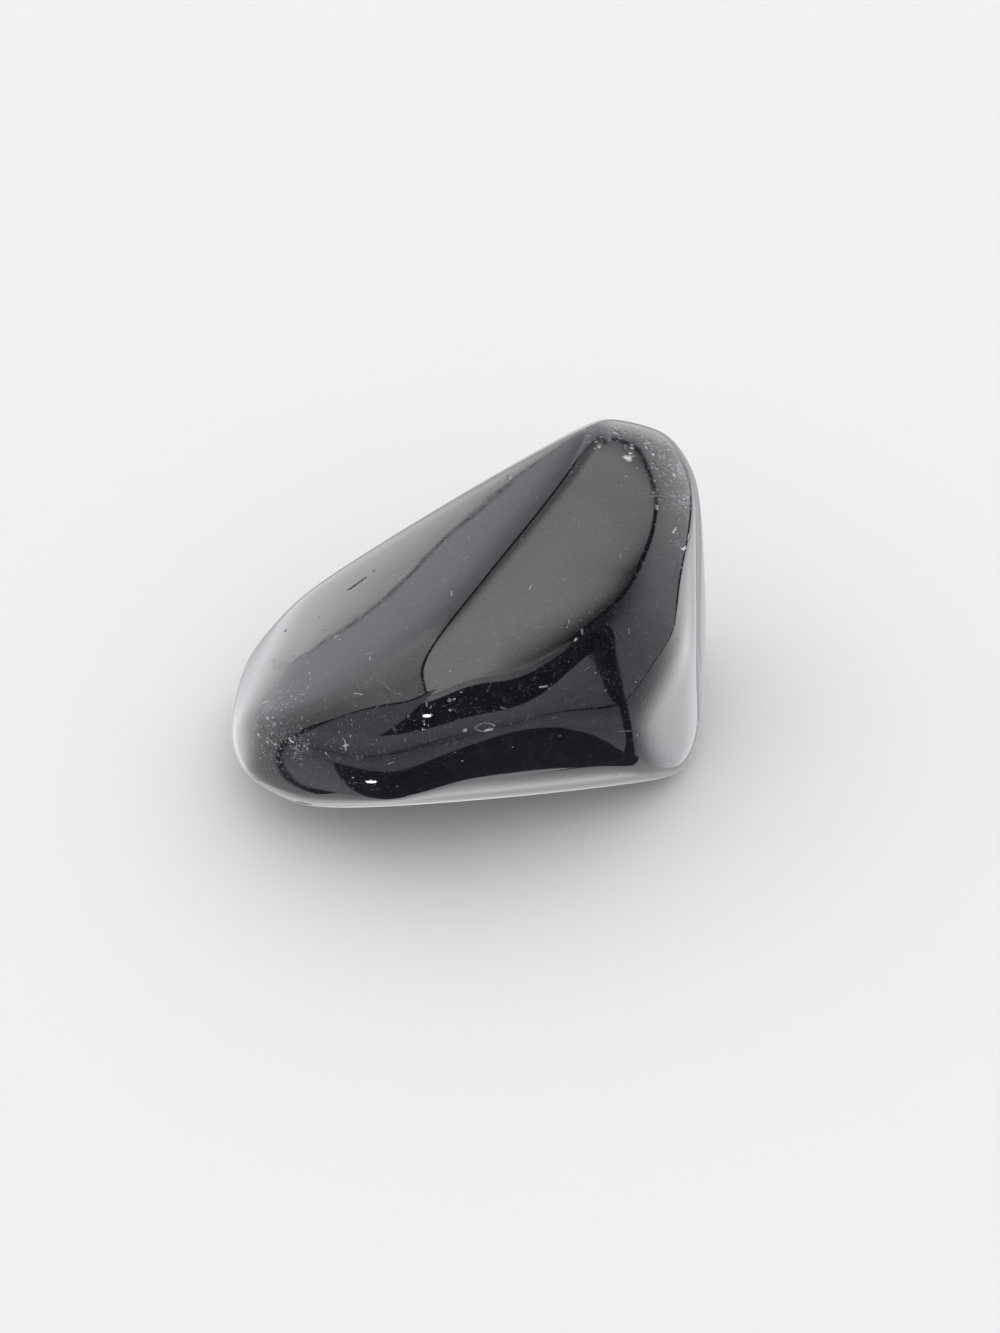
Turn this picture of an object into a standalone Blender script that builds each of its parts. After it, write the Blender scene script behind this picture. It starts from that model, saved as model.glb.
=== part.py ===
"""A tumbled obsidian stone: one polished pebble, about 28 mm long, with soft facets.

The stone is the soft intersection of broad, faintly bulging facets. Each facet has a name, the
direction it faces and its reach from the stone's heart. Run it with
blender --background --python part.py, or from Blender's text editor.
"""

import bmesh
import bpy
import numpy as np

OBJECT_NAME = "obsidian_stone"
METRES_PER_MM = 0.001

# The facets: azimuth and tilt in degrees, reach in millimetres.
# Azimuth 0 faces the front, -Y, and 90 faces the right, +X. Tilt is up from the horizon.
FACETS = {
    # The long slope down to the pointed left end, and the shoulders round it
    "left_slope": (-108, 58.5, 6.05),
    "left_mid": (-61, 27, 13.55),
    "left_shoulder": (-93, 14, 14.25),
    "left_tip": (-73, 8, 15.15),
    # The top, from the high right corner to the brow over the front
    "crown": (71, 71, 8.7),
    "front_crown": (20, 76, 7.2),
    "high_brow": (24, 54, 8.35),
    "right_brow": (63, 32, 10.0),
    "brow_left": (-30, 60, 8.6),
    "brow_right": (8, 37, 10.0),
    # The front, which leans over its own foot
    "front_right_slope": (40, 26, 8.9),
    "front_left_slope": (-30, 37, 10.85),
    "front_right": (20, -11, 9.2),
    "front_left": (-25, -9, 12.9),
    "front_low_left": (-4, -2, 11.5),
    "front_lower": (15, -34, 9.4),
    # The steep right end
    "right_side": (86, 4, 11.35),
    "right_corner": (56, 1, 10.35),
    "back_right": (106, 28, 14.45),
    # The back
    "back_right_edge": (131, 0, 16.0),
    "back_crest": (163, 50, 14.5),
    "back": (180, 0, 12.3),
    "back_left": (-158, 9, 10.4),
    "back_left_slope": (-106, 36, 10.05),
    # The underside, round the face that the stone lies on
    "front_underside": (7, -51, 8.6),
    "left_lower": (-50, -48, 13.7),
    "left_end_foot": (-88, -26, 16.4),
    "left_back_foot": (-104, -35, 16.2),
    "back_left_foot": (-155, -39, 13.1),
    "back_right_foot": (117, -50, 13.9),
    "left_underside": (-42, -76, 9.2),
    "right_underside": (85, -38, 13.25),
    "back_underside": (175, -45, 11.9),
    "base": (0, -90, 8.25),
}
FACET_BULGE_RADIUS = 250.0  # mm: how nearly flat tumbling left each facet
EDGE_SOFTNESS = 0.35  # mm: how far the facets melt into each other
RESTING_WEAR = 0.12  # mm worn off the lowest point, as the flat patch that the stone lies on

# The mesh
SPHERE_SUBDIVISIONS = 5
LARGEST_TURN = 13.0  # degrees: an edge of the mesh that bends further round the stone is halved
HALF_SIZES = (14.0, 11.5, 8.0)  # mm, which spread the triangles evenly over the long shape
LONGEST_REACH = 30.0  # mm, beyond every point of the stone
HALVINGS = 30  # steps of the search for the surface along each direction

# The polished black glass
OBSIDIAN_COLOUR = (0.005, 0.005, 0.006, 1.0)
POLISH_ROUGHNESS = 0.06
OBSIDIAN_IOR = 1.5


def clear_scene():
    for obj in list(bpy.data.objects):
        bpy.data.objects.remove(obj)


def facet_directions():
    """The unit vector that each facet faces, one row for each."""
    azimuth, tilt = np.radians([facet[:2] for facet in FACETS.values()]).T
    level = np.cos(tilt)
    return np.stack([np.sin(azimuth) * level, -np.cos(azimuth) * level, np.sin(tilt)], axis=1)


def facet_bulges():
    """The centre of the large sphere that each facet is a patch of."""
    reaches = np.array([facet[2] for facet in FACETS.values()])
    return facet_directions() * (reaches - FACET_BULGE_RADIUS)[:, None]


def height_over_stone(points, bulges):
    """How far each point is outside the stone, negative inside: a soft maximum over the facets."""
    gaps = np.linalg.norm(points[:, None] - bulges[None], axis=2) - FACET_BULGE_RADIUS
    largest = gaps.max(axis=1)
    melted = np.exp((gaps - largest[:, None]) / EDGE_SOFTNESS).sum(axis=1)
    return largest + EDGE_SOFTNESS * np.log(melted)


def surface_points(directions):
    """Where a line from the stone's heart along each direction leaves the stone, in millimetres."""
    bulges = facet_bulges()
    inner = np.zeros(len(directions))
    outer = np.full(len(directions), LONGEST_REACH)
    for _ in range(HALVINGS):
        middle = (inner + outer) / 2
        inside = height_over_stone(directions * middle[:, None], bulges) < 0
        inner = np.where(inside, middle, inner)
        outer = np.where(inside, outer, middle)
    return directions * inner[:, None]


def rest_on_ground(points):
    """Wears the lowest point to a flat patch at height 0, with the stone centred over the origin."""
    points = points.copy()
    ground = points[:, 2].min() + RESTING_WEAR
    points[:, 2] = np.maximum(points[:, 2], ground) - ground
    middle = (points.min(axis=0) + points.max(axis=0)) / 2
    points[:, :2] -= middle[:2]
    return points


def ways_out(points):
    """The direction that the surface faces at each of its points."""
    arms = points[:, None] - facet_bulges()[None]
    lengths = np.linalg.norm(arms, axis=2)
    shares = np.exp((lengths - lengths.max(axis=1)[:, None]) / EDGE_SOFTNESS)
    outward = (arms / lengths[:, :, None] * shares[:, :, None]).sum(axis=1)
    return outward / np.linalg.norm(outward, axis=1)[:, None]


def directions_of(sphere):
    """The direction from the stone's heart of each corner of the sphere's mesh."""
    directions = np.array([vert.co[:] for vert in sphere.verts]) * HALF_SIZES
    return directions / np.linalg.norm(directions, axis=1)[:, None]


def halve_bent_edges(sphere):
    """Splits the edges that lie across the stone's rounded edges, so that these stay smooth."""
    outward = ways_out(surface_points(directions_of(sphere)))
    straightest = np.cos(np.radians(LARGEST_TURN))
    sphere.verts.index_update()
    bent = []
    for edge in sphere.edges:
        start, end = (vert.index for vert in edge.verts)
        if outward[start] @ outward[end] < straightest:
            bent.append(edge)
    bmesh.ops.subdivide_edges(sphere, edges=bent, cuts=1)
    bmesh.ops.triangulate(sphere, faces=[face for face in sphere.faces if len(face.verts) > 3])


def stone_mesh():
    bm = bmesh.new()
    bmesh.ops.create_icosphere(bm, subdivisions=SPHERE_SUBDIVISIONS, radius=1.0)
    halve_bent_edges(bm)
    points = rest_on_ground(surface_points(directions_of(bm))) * METRES_PER_MM
    for vert, point in zip(bm.verts, points):
        vert.co = point
    for face in bm.faces:
        face.smooth = True
    mesh = bpy.data.meshes.new(OBJECT_NAME)
    bm.to_mesh(mesh)
    bm.free()
    return mesh


def obsidian_material():
    material = bpy.data.materials.new("obsidian")
    material.use_nodes = True
    shader = material.node_tree.nodes["Principled BSDF"]
    shader.inputs["Base Color"].default_value = OBSIDIAN_COLOUR
    shader.inputs["Roughness"].default_value = POLISH_ROUGHNESS
    shader.inputs["Metallic"].default_value = 0.0
    shader.inputs["IOR"].default_value = OBSIDIAN_IOR
    material.diffuse_color = OBSIDIAN_COLOUR
    return material


def main():
    clear_scene()
    parts = bpy.data.collections.new("Tumbled obsidian stone")
    bpy.context.scene.collection.children.link(parts)
    stone = bpy.data.objects.new(OBJECT_NAME, stone_mesh())
    stone.data.materials.append(obsidian_material())
    parts.objects.link(stone)


main()
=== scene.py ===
"""The looks of the tumbled obsidian stone: black glass polished in a tumbler, in soft tent light.

The stone's form repeats the named facets of its CAD model at a finer mesh, and the pits, nicks and
scratches of tumbling are cut into that mesh. The material adds the specks that are too small for it.
"""

import math

import bmesh
import bpy
import numpy as np
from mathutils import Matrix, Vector
from mathutils.kdtree import KDTree


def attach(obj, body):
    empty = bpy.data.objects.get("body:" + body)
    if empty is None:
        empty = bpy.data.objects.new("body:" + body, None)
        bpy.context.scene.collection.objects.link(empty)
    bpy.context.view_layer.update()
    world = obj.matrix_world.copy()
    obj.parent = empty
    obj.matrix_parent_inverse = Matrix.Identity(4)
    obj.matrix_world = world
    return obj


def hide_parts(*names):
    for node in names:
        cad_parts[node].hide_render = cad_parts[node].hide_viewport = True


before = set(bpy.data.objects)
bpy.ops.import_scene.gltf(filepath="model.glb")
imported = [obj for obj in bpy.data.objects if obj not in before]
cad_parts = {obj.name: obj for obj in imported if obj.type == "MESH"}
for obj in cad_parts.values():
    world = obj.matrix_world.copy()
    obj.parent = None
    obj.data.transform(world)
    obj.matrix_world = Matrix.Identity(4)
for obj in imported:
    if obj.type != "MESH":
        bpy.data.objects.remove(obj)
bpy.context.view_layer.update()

METRES_PER_MM = 0.001
STONE_NODE = "obsidian_stone"


def add_object(name, data):
    made = bpy.data.objects.new(name, data)
    bpy.context.scene.collection.objects.link(made)
    return made


# -------------------- The stone's form, in millimetres
# Azimuth and tilt in degrees, reach in millimetres from the stone's heart.
# Azimuth 0 faces the front, -Y, and 90 faces the right, +X. Tilt is up from the horizon.
# Most of the values weren't chosen by hand: they are a least-squares fit to the photograph, rounded.
FACETS = {
    "left_slope": (-108, 58.5, 6.05),
    "left_mid": (-61, 27, 13.55),
    "left_shoulder": (-93, 14, 14.25),
    "left_tip": (-73, 8, 15.15),
    "crown": (71, 71, 8.7),
    "front_crown": (20, 76, 7.2),
    "high_brow": (24, 54, 8.35),
    "right_brow": (63, 32, 10.0),
    "brow_left": (-30, 60, 8.6),
    "brow_right": (8, 37, 10.0),
    "front_right_slope": (40, 26, 8.9),
    "front_left_slope": (-30, 37, 10.85),
    "front_right": (20, -11, 9.2),
    "front_left": (-25, -9, 12.9),
    "front_low_left": (-4, -2, 11.5),
    "front_lower": (15, -34, 9.4),
    "right_side": (86, 4, 11.35),
    "right_corner": (56, 1, 10.35),
    "back_right": (106, 28, 14.45),
    "back_right_edge": (131, 0, 16.0),
    "back_crest": (163, 50, 14.5),
    "back": (180, 0, 12.3),
    "back_left": (-158, 9, 10.4),
    "back_left_slope": (-106, 36, 10.05),
    "front_underside": (7, -51, 8.6),
    "left_lower": (-50, -48, 13.7),
    "left_end_foot": (-88, -26, 16.4),
    "left_back_foot": (-104, -35, 16.2),
    "back_left_foot": (-155, -39, 13.1),
    "back_right_foot": (117, -50, 13.9),
    "left_underside": (-42, -76, 9.2),
    "right_underside": (85, -38, 13.25),
    "back_underside": (175, -45, 11.9),
    "base": (0, -90, 8.25),
}
FACET_BULGE_RADIUS = 250.0
EDGE_SOFTNESS = 0.35  # how far the facets melt into each other
RESTING_WEAR = 0.12  # worn off the lowest point, as the flat patch that the stone lies on
HALF_SIZES = (14.0, 11.5, 8.0)
LONGEST_REACH = 30.0
NEWTON_STEPS = 14

SPHERE_SUBDIVISIONS = 6
CAD_SUBDIVISIONS = 5
POLISH_LOSS = 0.012  # how far the polished surface lies inside the facets


def unit(vectors):
    return vectors / np.linalg.norm(vectors, axis=-1, keepdims=True)


def facet_bulges():
    """The centre of the large sphere that each facet is a patch of."""
    azimuth, tilt = np.radians([facet[:2] for facet in FACETS.values()]).T
    reaches = np.array([facet[2] for facet in FACETS.values()])
    level = np.cos(tilt)
    faces = np.stack([np.sin(azimuth) * level, -np.cos(azimuth) * level, np.sin(tilt)], axis=1)
    return faces * (reaches - FACET_BULGE_RADIUS)[:, None]


BULGES = facet_bulges()


def stone_at(points, softness=EDGE_SOFTNESS):
    """Height over the stone, the way out of it, and how many facets meet near each point."""
    arms = points[:, None] - BULGES[None]
    lengths = np.linalg.norm(arms, axis=2)
    gaps = lengths - FACET_BULGE_RADIUS
    largest = gaps.max(axis=1)
    shares = np.exp((gaps - largest[:, None]) / softness)
    meeting = shares.sum(axis=1)
    outward = (arms / lengths[:, :, None] * (shares / meeting[:, None])[:, :, None]).sum(axis=1)
    return largest + softness * np.log(meeting), outward, meeting


def where_rays_meet(origins, directions, start):
    """The point where each ray meets the stone. The stone is convex, so Newton's steps don't overshoot."""
    travelled = np.full(len(directions), float(start))
    for _ in range(NEWTON_STEPS):
        height, outward, _ = stone_at(origins + directions * travelled[:, None])
        travelled -= height / (outward * directions).sum(axis=1)
    return origins + directions * travelled[:, None]


def surface_points(directions):
    """Where each direction from the stone's heart leaves the stone."""
    return where_rays_meet(np.zeros(3), directions, LONGEST_REACH)


def sphere(subdivisions):
    """An icosphere's mesh, stretched to spread its triangles evenly over the long stone."""
    bm = bmesh.new()
    bmesh.ops.create_icosphere(bm, subdivisions=subdivisions, radius=1.0)
    for vert in bm.verts:
        vert.co = Vector(a * b for a, b in zip(vert.co, HALF_SIZES))
    return bm


def heart_place():
    """Where the stone's heart is in the part's frame, from the same rules that rest the CAD solid."""
    bm = sphere(CAD_SUBDIVISIONS)
    points = surface_points(unit(np.array([vert.co[:] for vert in bm.verts])))
    bm.free()
    low, high = points.min(axis=0), points.max(axis=0)
    middle = (low + high) / 2
    return np.array([-middle[0], -middle[1], -(low[2] + RESTING_WEAR)])


HEART = heart_place()

# -------------------- The camera
IMAGE_SIZE = (1000.0, 1333.0)  # pixels of the photograph
PIXELS_PER_MM = 17.0  # where the camera's axis meets the ground
CAMERA_ELEVATION = math.radians(40.0)
CAMERA_DISTANCE = 380.0
CAMERA_AIM = np.array([0.0, 8.0, -8.2]) + HEART  # the ground point seen at the picture's centre
SENSOR_WIDTH = 36.0

camera_back = np.array([0.0, -math.cos(CAMERA_ELEVATION), math.sin(CAMERA_ELEVATION)])
camera_up = np.array([0.0, math.sin(CAMERA_ELEVATION), math.cos(CAMERA_ELEVATION)])
camera_place = CAMERA_AIM + camera_back * CAMERA_DISTANCE
focal_pixels = PIXELS_PER_MM * CAMERA_DISTANCE


def make_camera():
    data = bpy.data.cameras.new("camera")
    data.sensor_width = SENSOR_WIDTH
    data.lens = SENSOR_WIDTH * focal_pixels / IMAGE_SIZE[1]
    data.clip_start = 0.01
    data.clip_end = 10.0
    camera = add_object("camera", data)
    camera.location = Vector(camera_place * METRES_PER_MM)
    camera.rotation_euler = Vector(-camera_back).to_track_quat("-Z", "Y").to_euler()
    bpy.context.scene.camera = camera


def seen_at(pixels):
    """The points of the stone, from its heart, that the photograph shows at these pixels."""
    pixels = np.asarray(pixels, float)
    across = (pixels[:, 0] - IMAGE_SIZE[0] / 2) / focal_pixels
    down = (pixels[:, 1] - IMAGE_SIZE[1] / 2) / focal_pixels
    rays = unit(-camera_back + across[:, None] * np.array([1.0, 0.0, 0.0]) - down[:, None] * camera_up)
    return where_rays_meet(camera_place - HEART, rays, 0.0)


# -------------------- Marks of the tumbler
# Each place is a pixel of the photograph, read one by one, and lies on the stone where the camera sees it.
# Pits: x, y, radius in mm, and how white the crushed glass in it is, from 0 to 1
PITS = [
    # The large white pit under the top, the ring beside it and the small ones below
    (628.4, 457.0, 0.27, 0.95), (630.5, 453.0, 0.10, 0.85), (623.6, 456.8, 0.07, 0.45),
    (626.1, 475.3, 0.08, 0.85), (621.4, 484.8, 0.07, 0.6), (619.0, 524.3, 0.06, 0.3),
    (599.8, 445.9, 0.10, 0.6), (572.2, 514.3, 0.08, 0.35), (590.0, 465.4, 0.05, 0.3),
    # Along the top and the right shoulder
    (589.0, 434.5, 0.08, 0.35), (611.0, 429.4, 0.05, 0.45), (615.0, 431.0, 0.06, 0.35),
    (625.3, 432.0, 0.05, 0.3), (630.4, 431.0, 0.05, 0.35), (649.8, 441.6, 0.08, 0.45),
    (665.0, 442.7, 0.06, 0.3), (661.0, 457.0, 0.07, 0.45), (665.6, 474.3, 0.05, 0.35),
    (645.2, 492.0, 0.06, 0.3), (652.3, 495.7, 0.06, 0.3), (685.5, 477.3, 0.06, 0.45),
    (686.5, 482.0, 0.06, 0.45), (681.0, 500.8, 0.06, 0.45), (686.5, 513.6, 0.06, 0.35),
    (676.3, 544.2, 0.06, 0.45), (674.3, 564.0, 0.06, 0.35),
    # Along the seam of the brow
    (576.3, 466.6, 0.05, 0.45), (569.7, 467.0, 0.05, 0.35), (581.4, 466.6, 0.04, 0.3),
    (572.2, 471.2, 0.06, 0.45), (532.0, 514.3, 0.06, 0.35), (467.8, 536.3, 0.06, 0.35),
    (475.7, 518.8, 0.05, 0.2), (494.5, 597.9, 0.06, 0.3), (594.5, 597.3, 0.05, 0.3),
    (589.0, 611.6, 0.05, 0.3), (566.0, 626.6, 0.06, 0.35), (445.5, 642.0, 0.05, 0.2),
    # On the long left slope
    (351.8, 618.0, 0.07, 0.6), (339.4, 638.8, 0.04, 0.35), (405.7, 627.0, 0.05, 0.3),
    (396.6, 650.6, 0.06, 0.3), (409.4, 659.0, 0.06, 0.3), (371.2, 678.1, 0.06, 0.45),
    (366.6, 681.7, 0.06, 0.45), (307.3, 661.8, 0.06, 0.45), (293.8, 656.7, 0.06, 0.35),
    (324.7, 698.7, 0.06, 0.45), (308.2, 703.0, 0.05, 0.35), (355.2, 705.2, 0.06, 0.35),
    (374.2, 570.8, 0.10, 0.15), (285.5, 630.5, 0.10, 0.15),
    # Round the pointed left end
    (269.4, 759.0, 0.05, 0.35), (341.6, 724.0, 0.05, 0.35), (359.6, 726.7, 0.05, 0.35),
    (308.7, 734.6, 0.06, 0.6), (383.8, 715.4, 0.06, 0.35), (367.3, 712.7, 0.05, 0.3),
    # In the dark bands of the front
    (430.6, 707.4, 0.05, 0.35), (428.0, 725.3, 0.05, 0.35), (425.0, 730.4, 0.06, 0.45),
    (449.5, 699.3, 0.10, 0.3), (454.0, 698.8, 0.06, 0.35), (450.0, 710.0, 0.07, 0.6),
    (461.2, 691.6, 0.05, 0.35), (450.5, 727.3, 0.06, 0.35), (456.0, 724.3, 0.04, 0.3),
    (407.7, 715.6, 0.08, 0.2), (476.0, 698.3, 0.05, 0.3), (487.2, 690.6, 0.04, 0.3),
    (465.1, 730.4, 0.13, 0.7), (475.5, 727.3, 0.06, 0.3), (493.9, 725.3, 0.06, 0.6),
    (551.5, 684.5, 0.04, 0.3), (539.3, 697.2, 0.04, 0.3), (511.2, 723.3, 0.04, 0.3),
    (537.8, 723.3, 0.05, 0.3), (455.0, 752.3, 0.06, 0.2), (560.3, 736.0, 0.06, 0.2),
    (596.0, 673.0, 0.06, 0.35), (636.6, 682.0, 0.06, 0.35), (615.9, 632.3, 0.05, 0.2),
    (606.0, 690.4, 0.06, 0.3),
]
# Scratches: the pixels that each runs through, half its width in mm, and its whiteness
SCRATCHES = [
    ([(625.5, 445.0), (625.8, 449.0)], 0.03, 0.45),
    ([(615.5, 426.9), (621.0, 426.7)], 0.03, 0.6),
    ([(657.0, 504.5), (657.8, 509.5)], 0.04, 0.7),
    ([(651.5, 462.0), (655.5, 464.5)], 0.04, 0.45),
    ([(654.5, 466.5), (659.5, 469.0)], 0.04, 0.35),
    ([(679.5, 456.5), (682.0, 459.0), (685.0, 464.0)], 0.04, 0.6),
    ([(679.0, 521.5), (680.0, 517.5)], 0.03, 0.45),
    ([(672.8, 533.0), (674.5, 531.0), (677.0, 526.5)], 0.048, 0.85),
    ([(680.5, 547.5), (683.5, 549.5), (686.5, 547.0)], 0.064, 0.85),
    ([(688.5, 539.5), (689.5, 535.0)], 0.04, 0.6),
    ([(619.6, 552.5), (620.6, 557.5)], 0.03, 0.45),
    ([(654.0, 601.5), (661.0, 605.5)], 0.03, 0.2),
    ([(537.0, 496.0), (537.6, 501.0)], 0.03, 0.35),
    ([(508.6, 474.0), (509.0, 479.5)], 0.04, 0.35),
    ([(529.0, 589.0), (531.5, 585.0)], 0.04, 0.7),
    ([(450.8, 590.8), (451.4, 595.5)], 0.04, 0.6),
    ([(396.5, 580.0), (401.0, 576.2), (405.5, 573.5)], 0.048, 0.6),
    ([(333.5, 637.6), (337.5, 634.8)], 0.048, 0.85),
    ([(323.5, 629.5), (328.5, 632.0)], 0.03, 0.35),
    ([(364.3, 653.8), (375.0, 652.2)], 0.03, 0.2),
    ([(369.0, 656.0), (369.4, 660.5)], 0.04, 0.45),
    ([(376.5, 680.6), (383.0, 682.5), (386.5, 685.9), (390.3, 689.7), (395.3, 693.2), (394.1, 698.1)],
     0.03, 0.3),
    ([(352.8, 693.2), (358.0, 693.4), (362.7, 694.6)], 0.04, 0.6),
    ([(298.5, 693.8), (303.0, 694.0)], 0.03, 0.45),
    ([(261.5, 701.8), (267.5, 700.8)], 0.048, 0.45),
    ([(258.0, 733.0), (258.6, 737.5)], 0.048, 0.85),
    ([(288.4, 737.0), (290.2, 740.5), (293.9, 742.9)], 0.056, 0.85),
    ([(272.3, 743.0), (275.6, 745.6)], 0.048, 0.7),
    ([(295.3, 751.7), (294.8, 755.0), (293.5, 758.6)], 0.03, 0.6),
    ([(344.3, 739.2), (345.6, 744.5), (345.7, 751.2)], 0.048, 0.7),
    ([(342.5, 746.5), (346.0, 745.0), (349.5, 745.5)], 0.045, 0.7),
    ([(357.2, 755.5), (357.5, 760.5)], 0.03, 0.45),
    ([(386.5, 765.0), (394.0, 762.0)], 0.072, 0.35),
    ([(426.3, 700.5), (426.8, 706.5)], 0.03, 0.6),
    ([(423.8, 719.0), (424.3, 725.0)], 0.03, 0.45),
    ([(405.0, 737.0), (405.2, 743.5)], 0.03, 0.35),
    ([(484.5, 730.6), (493.5, 729.2)], 0.072, 0.7),
    ([(475.5, 727.5), (478.5, 724.8), (485.0, 722.8), (491.5, 723.8), (494.8, 726.8)], 0.035, 0.45),
    ([(475.0, 729.0), (480.0, 731.0), (487.0, 731.6)], 0.035, 0.45),
    ([(500.5, 707.4), (506.5, 709.5)], 0.03, 0.45),
    ([(539.0, 687.2), (548.0, 686.2)], 0.04, 0.7),
    ([(552.0, 717.8), (557.5, 717.5)], 0.03, 0.3),
    ([(581.6, 628.5), (582.3, 634.5)], 0.048, 0.6),
    ([(574.3, 641.5), (576.8, 637.5)], 0.056, 0.7),
    ([(584.5, 670.0), (590.5, 667.5)], 0.04, 0.3),
    ([(629.0, 628.0), (629.6, 634.0)], 0.04, 0.45),
    ([(616.7, 731.4), (632.5, 730.9)], 0.03, 0.45),
]
# Cracks that stay dark: the pixels that each runs through, half its width and its depth in mm
CRACKS = [
    ([(346.9, 590.4), (351.0, 588.2), (357.0, 583.8), (366.8, 576.6)], 0.10, 0.20),
    ([(297.0, 801.8), (303.6, 803.4), (311.5, 804.6)], 0.09, 0.12),
]
PIT_DEPTH_SHARE = 0.5  # of a pit's radius
SCRATCH_DEPTH_SHARE = 0.5  # of a scratch's half width
CRUSHED_ROUGHNESS = 0.35  # how much of a mark's depth the crushed glass in it varies by
PATH_STEP = 0.1  # mm between the points that a long mark is followed by
RAGGED_EDGE = (0.85, 1.15)  # how far a mark's edge wanders, as shares of its half width
RAGGED_REACH = 1.3  # half widths from its path within which all of a ragged mark lies
WHITE_SPREAD = 1.6  # above 1, the crushed glass is even up to nearer the mark's edge

# Small marks all round, thickest on the corners and edges that knock first
MARK_TRIES = 3600
MARKS_ON_FLATS = 0.015
MARKS_ON_EDGES = 0.70
MARK_WIDTHS = (0.03, 0.065)  # mm: the half width
MARK_WHITES = (0.15, 0.5)
WEAR_SOFTNESS = 1.0  # mm: how wide the wear spreads round an edge
WEAR_STARTS, WEAR_FULL = 0.06, 0.18
EDGE_WEAR = 0.35
# Knocks: small marks close together in the most worn places
KNOCKS_PER_MM2 = 9.0
KNOCK_WIDTHS = (0.025, 0.055)
KNOCK_WHITES = (0.3, 1.0)
KNOCK_SPREAD = 0.6  # of the place's reach
# A small mark is a round pit, a dash or, where it is neither, a crescent. Lengths and radii are in
# a pit's half widths, and dashes and crescents are thinner than a pit.
PIT_CHANCE, DASH_CHANCE = 0.4, 0.3
DASH_REACH, DASH_THINNING = (1.0, 3.0), 0.6
CRESCENT_RADII, CRESCENT_THINNING = (2.0, 3.5), 0.55
CRESCENT_TURNS = (35.0, 75.0)  # degrees to each side
CRESCENT_POINTS = 5

# Where the photograph shows the most knocks: pixel, how far they reach in mm, and how thick they are
WORN_PLACES = [
    (677.0, 470.0, 1.6, 1.0), (684.0, 500.0, 1.5, 1.0), (682.0, 545.0, 1.0, 0.8), (655.0, 448.0, 1.3, 0.8),
    (612.0, 432.0, 1.3, 0.8), (268.0, 712.0, 1.5, 1.0), (272.0, 738.0, 1.7, 1.0), (298.0, 745.0, 1.5, 0.9),
    (348.0, 748.0, 1.8, 0.5), (450.0, 712.0, 1.8, 0.2),
]
# Where it shows hardly any: low on the front, which leans over its foot and is seldom knocked
CLEAN_PLACES = [
    (430.0, 785.0, 1.6, 1.0), (480.0, 770.0, 2.2, 1.0), (530.0, 757.0, 2.6, 1.0), (580.0, 755.0, 2.4, 1.0),
    (612.0, 757.0, 1.5, 1.0),
]
CLEAN_SHARE = 0.8  # of the small marks that are missing there

random = np.random.default_rng(23)


def near_places(points, places):
    """How far each point belongs to the places, from 0 to 1."""
    share = np.zeros(len(points))
    for x, y, reach, most in places:
        distance = np.linalg.norm(points - seen_at([(x, y)]), axis=1)
        share = np.maximum(share, most * np.exp(-((distance / reach) ** 2)))
    return share


def wear_at(points):
    """0 on a flat facet and 1 on a corner: facets that face apart cancel in the mean way out."""
    _, outward, _ = stone_at(points, WEAR_SOFTNESS)
    spread = 1.0 - np.linalg.norm(outward, axis=1)
    wear = np.clip((spread - WEAR_STARTS) / (WEAR_FULL - WEAR_STARTS), 0.0, 1.0) * EDGE_WEAR
    wear = np.maximum(wear, near_places(points, WORN_PLACES))
    return wear * (1.0 - near_places(points, CLEAN_PLACES))


def followed(path):
    """The path with extra points, so that none is further than a step from the next."""
    made = [path[:1]]
    for start, end in zip(path, path[1:]):
        count = max(1, math.ceil(np.linalg.norm(end - start) / PATH_STEP))
        shares = np.arange(1, count + 1) / count
        made.append(start + (end - start) * shares[:, None])
    return np.concatenate(made)


def seen_marks():
    """The marks that the photograph shows: path, half width, depth and whiteness."""
    marks = []
    for x, y, radius, white in PITS:
        marks.append((seen_at([(x, y)]), radius, radius * PIT_DEPTH_SHARE, white))
    for pixels, half_width, white in SCRATCHES:
        marks.append((followed(seen_at(pixels)), half_width, half_width * SCRATCH_DEPTH_SHARE, white))
    for pixels, half_width, depth in CRACKS:
        marks.append((followed(seen_at(pixels)), half_width, depth, 0.0))
    return marks


def small_mark(spot, half_width, white):
    """A pit, a dash or a crescent at one spot of the surface."""
    way_out = unit(stone_at(spot[None])[1])[0]
    across = unit(np.cross(way_out, random.normal(size=3)))
    along = np.cross(way_out, across)
    shape = random.random()
    if shape < PIT_CHANCE:
        path = spot[None]
    elif shape < PIT_CHANCE + DASH_CHANCE:
        path = spot + np.outer((-1.0, 1.0), along) * half_width * random.uniform(*DASH_REACH)
        half_width *= DASH_THINNING
    else:
        turn = np.radians(np.linspace(-1.0, 1.0, CRESCENT_POINTS) * random.uniform(*CRESCENT_TURNS))
        radius = half_width * random.uniform(*CRESCENT_RADII)
        path = spot + radius * (np.outer(np.sin(turn), along) + np.outer(np.cos(turn) - 1.0, across))
        half_width *= CRESCENT_THINNING
    return path, half_width, half_width * SCRATCH_DEPTH_SHARE, white


def scattered_marks():
    """Small pits, dashes and crescents all round the stone."""
    spots = surface_points(unit(random.normal(size=(MARK_TRIES, 3)) * HALF_SIZES))
    chance = MARKS_ON_FLATS + MARKS_ON_EDGES * wear_at(spots) ** 1.5
    chance *= 1.0 - CLEAN_SHARE * near_places(spots, CLEAN_PLACES)
    spots = spots[random.random(len(spots)) < chance]
    return [small_mark(spot, random.uniform(*MARK_WIDTHS), random.uniform(*MARK_WHITES)) for spot in spots]


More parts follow.
